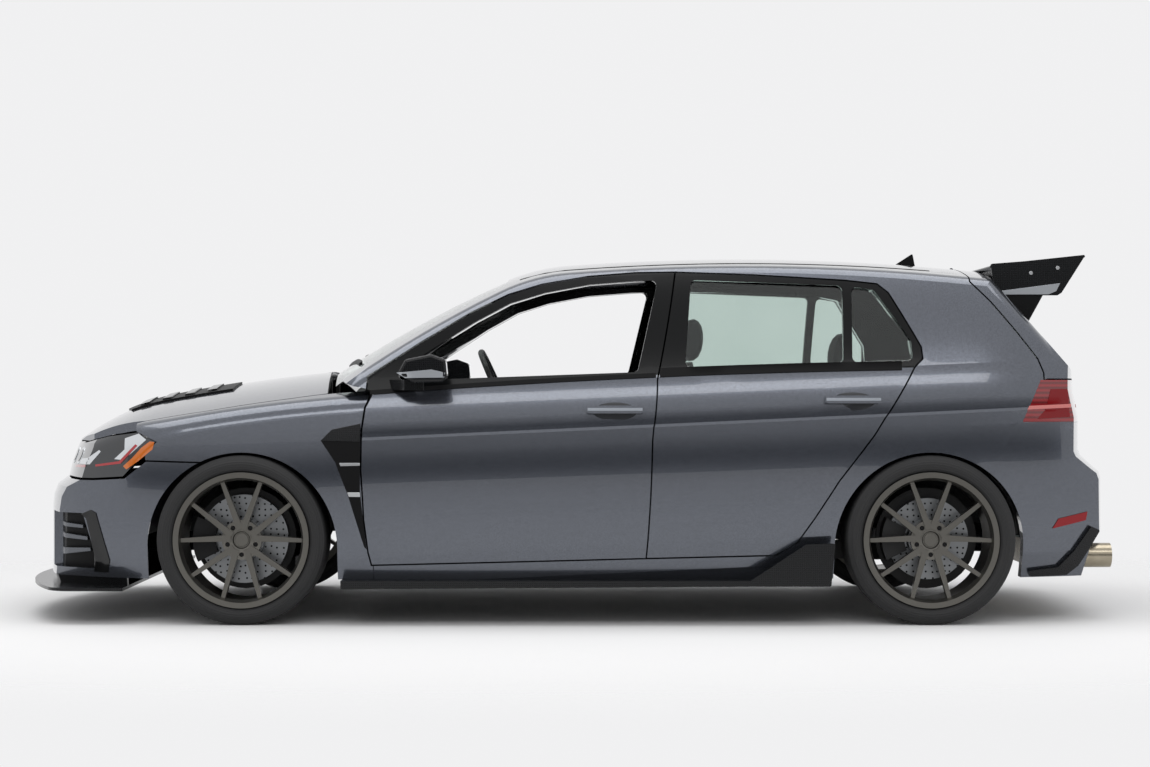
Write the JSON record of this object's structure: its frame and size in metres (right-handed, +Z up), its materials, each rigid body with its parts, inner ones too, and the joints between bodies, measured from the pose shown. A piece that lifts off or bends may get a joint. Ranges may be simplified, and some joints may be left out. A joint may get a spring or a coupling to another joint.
{
  "type": "hatchback car",
  "caption": "Lowered five-door hatchback with opening doors, bonnet and tailgate, steered front wheels, forked-spoke alloy wheels, splitter, side skirts and a tailgate wing.",
  "frame": {"origin": "on the ground under the middle of the overall length and width", "axes": "+X forward, +Y to the car's left, +Z up"},
  "size_m": [4.3478, 2.02, 1.4613],
  "materials": {
    "paint": "metallic dark blue-grey clear coat",
    "underbody": "satin black",
    "clear_glass": "clear laminated",
    "tinted_glass": "dark green-grey tint",
    "lamp_clear": "smoked clear lens",
    "lamp_red": "dark red lens",
    "black_plastic": "matte black",
    "carbon": "gloss black woven fibre",
    "steel": "warm brushed steel",
    "trim_fabric": "dark woven",
    "trim_plastic": "soft dark grey",
    "trim_leather": "black",
    "engine_alloy": "cast",
    "black_steel": "satin black",
    "cast_iron": "dark",
    "tyre": "matte rubber",
    "wheel_alloy": "satin gunmetal",
    "disc_iron": "machined"
  },
  "bodies": {
    "body": {"body_side_left": "paint", "body_side_right": "paint", "cowl": "black_plastic", "dashboard": "trim_plastic", "engine_block": "engine_alloy", "exhaust": "steel", "fender_left": "paint", "fender_right": "paint", "floor_pan": "underbody", "front_bumper": "paint", "front_grille": "black_plastic", "front_splitter": "carbon", "front_suspension": "black_steel", "headlamps": "lamp_clear", "rear_bumper": "paint", "rear_spats": "carbon", "rear_suspension": "black_steel", "roof_antenna": "black_plastic", "roof_panel": "paint", "seats": "trim_fabric", "side_skirts": "carbon", "tail_lamps": "lamp_red", "windscreen": "clear_glass"},
    "bonnet": {"bonnet": "paint"},
    "tailgate": {"tailgate": "paint", "tailgate_glass": "tinted_glass", "tailgate_lamps": "lamp_red", "rear_wing": "carbon"},
    "door_fl": {"door_front_left": "paint", "mirror_left": "carbon"},
    "door_fr": {"door_front_right": "paint", "mirror_right": "carbon"},
    "door_rl": {"door_rear_left": "paint", "glass_rear_left": "tinted_glass"},
    "door_rr": {"door_rear_right": "paint", "glass_rear_right": "tinted_glass"},
    "knuckle_l": {"knuckle_left": "cast_iron"},
    "knuckle_r": {"knuckle_right": "cast_iron"},
    "steering_wheel": {"steering_wheel": "trim_leather"},
    "wheel_fl": {"tyre_front_left": "tyre", "rim_front_left": "wheel_alloy", "disc_front_left": "disc_iron"},
    "wheel_fr": {"tyre_front_right": "tyre", "rim_front_right": "wheel_alloy", "disc_front_right": "disc_iron"},
    "wheel_rl": {"tyre_rear_left": "tyre", "rim_rear_left": "wheel_alloy", "disc_rear_left": "disc_iron"},
    "wheel_rr": {"tyre_rear_right": "tyre", "rim_rear_right": "wheel_alloy", "disc_rear_right": "disc_iron"}
  },
  "joints": [
    {"name": "steer_left", "type": "hinge", "parent": "body", "child": "knuckle_l", "pos_m": [1.235, 0.712, 0.324], "axis": [0, 0, 1], "range_deg": [-35, 35]},
    {"name": "steer_right", "type": "hinge", "parent": "body", "child": "knuckle_r", "pos_m": [1.235, -0.712, 0.324], "axis": [0, 0, 1], "range_deg": [-35, 35]},
    {"name": "steering_column", "type": "hinge", "parent": "body", "child": "steering_wheel", "pos_m": [0.269, 0.365, 0.89], "axis": [-0.9135, 0, 0.4067], "range_deg": [-490, 490]},
    {"name": "spin_fl", "type": "hinge", "parent": "knuckle_l", "child": "wheel_fl", "pos_m": [1.235, 0.767, 0.324], "axis": [0, 1, 0], "continuous": true},
    {"name": "spin_fr", "type": "hinge", "parent": "knuckle_r", "child": "wheel_fr", "pos_m": [1.235, -0.767, 0.324], "axis": [0, 1, 0], "continuous": true},
    {"name": "spin_rl", "type": "hinge", "parent": "body", "child": "wheel_rl", "pos_m": [-1.396, 0.767, 0.324], "axis": [0, 1, 0], "continuous": true},
    {"name": "spin_rr", "type": "hinge", "parent": "body", "child": "wheel_rr", "pos_m": [-1.396, -0.767, 0.324], "axis": [0, 1, 0], "continuous": true},
    {"name": "open_door_fl", "type": "hinge", "parent": "body", "child": "door_fl", "pos_m": [0.762, 0.884, 0.6], "axis": [0, 0, -1], "range_deg": [0, 65]},
    {"name": "open_door_fr", "type": "hinge", "parent": "body", "child": "door_fr", "pos_m": [0.762, -0.884, 0.6], "axis": [0, 0, 1], "range_deg": [0, 65]},
    {"name": "open_door_rl", "type": "hinge", "parent": "body", "child": "door_rl", "pos_m": [-0.331, 0.892, 0.6], "axis": [0, 0, -1], "range_deg": [0, 65]},
    {"name": "open_door_rr", "type": "hinge", "parent": "body", "child": "door_rr", "pos_m": [-0.331, -0.892, 0.6], "axis": [0, 0, 1], "range_deg": [0, 65]},
    {"name": "open_bonnet", "type": "hinge", "parent": "body", "child": "bonnet", "pos_m": [0.969, 0, 0.953], "axis": [0, -1, 0], "range_deg": [0, 55]},
    {"name": "open_tailgate", "type": "hinge", "parent": "body", "child": "tailgate", "pos_m": [-1.579, 0, 1.386], "axis": [0, 1, 0], "range_deg": [0, 80]}
  ],
  "couplings": [
    {"joint": "steer_right", "follows": "steer_left", "ratio": 1},
    {"joint": "steering_column", "follows": "steer_left", "ratio": 14}
  ]
}
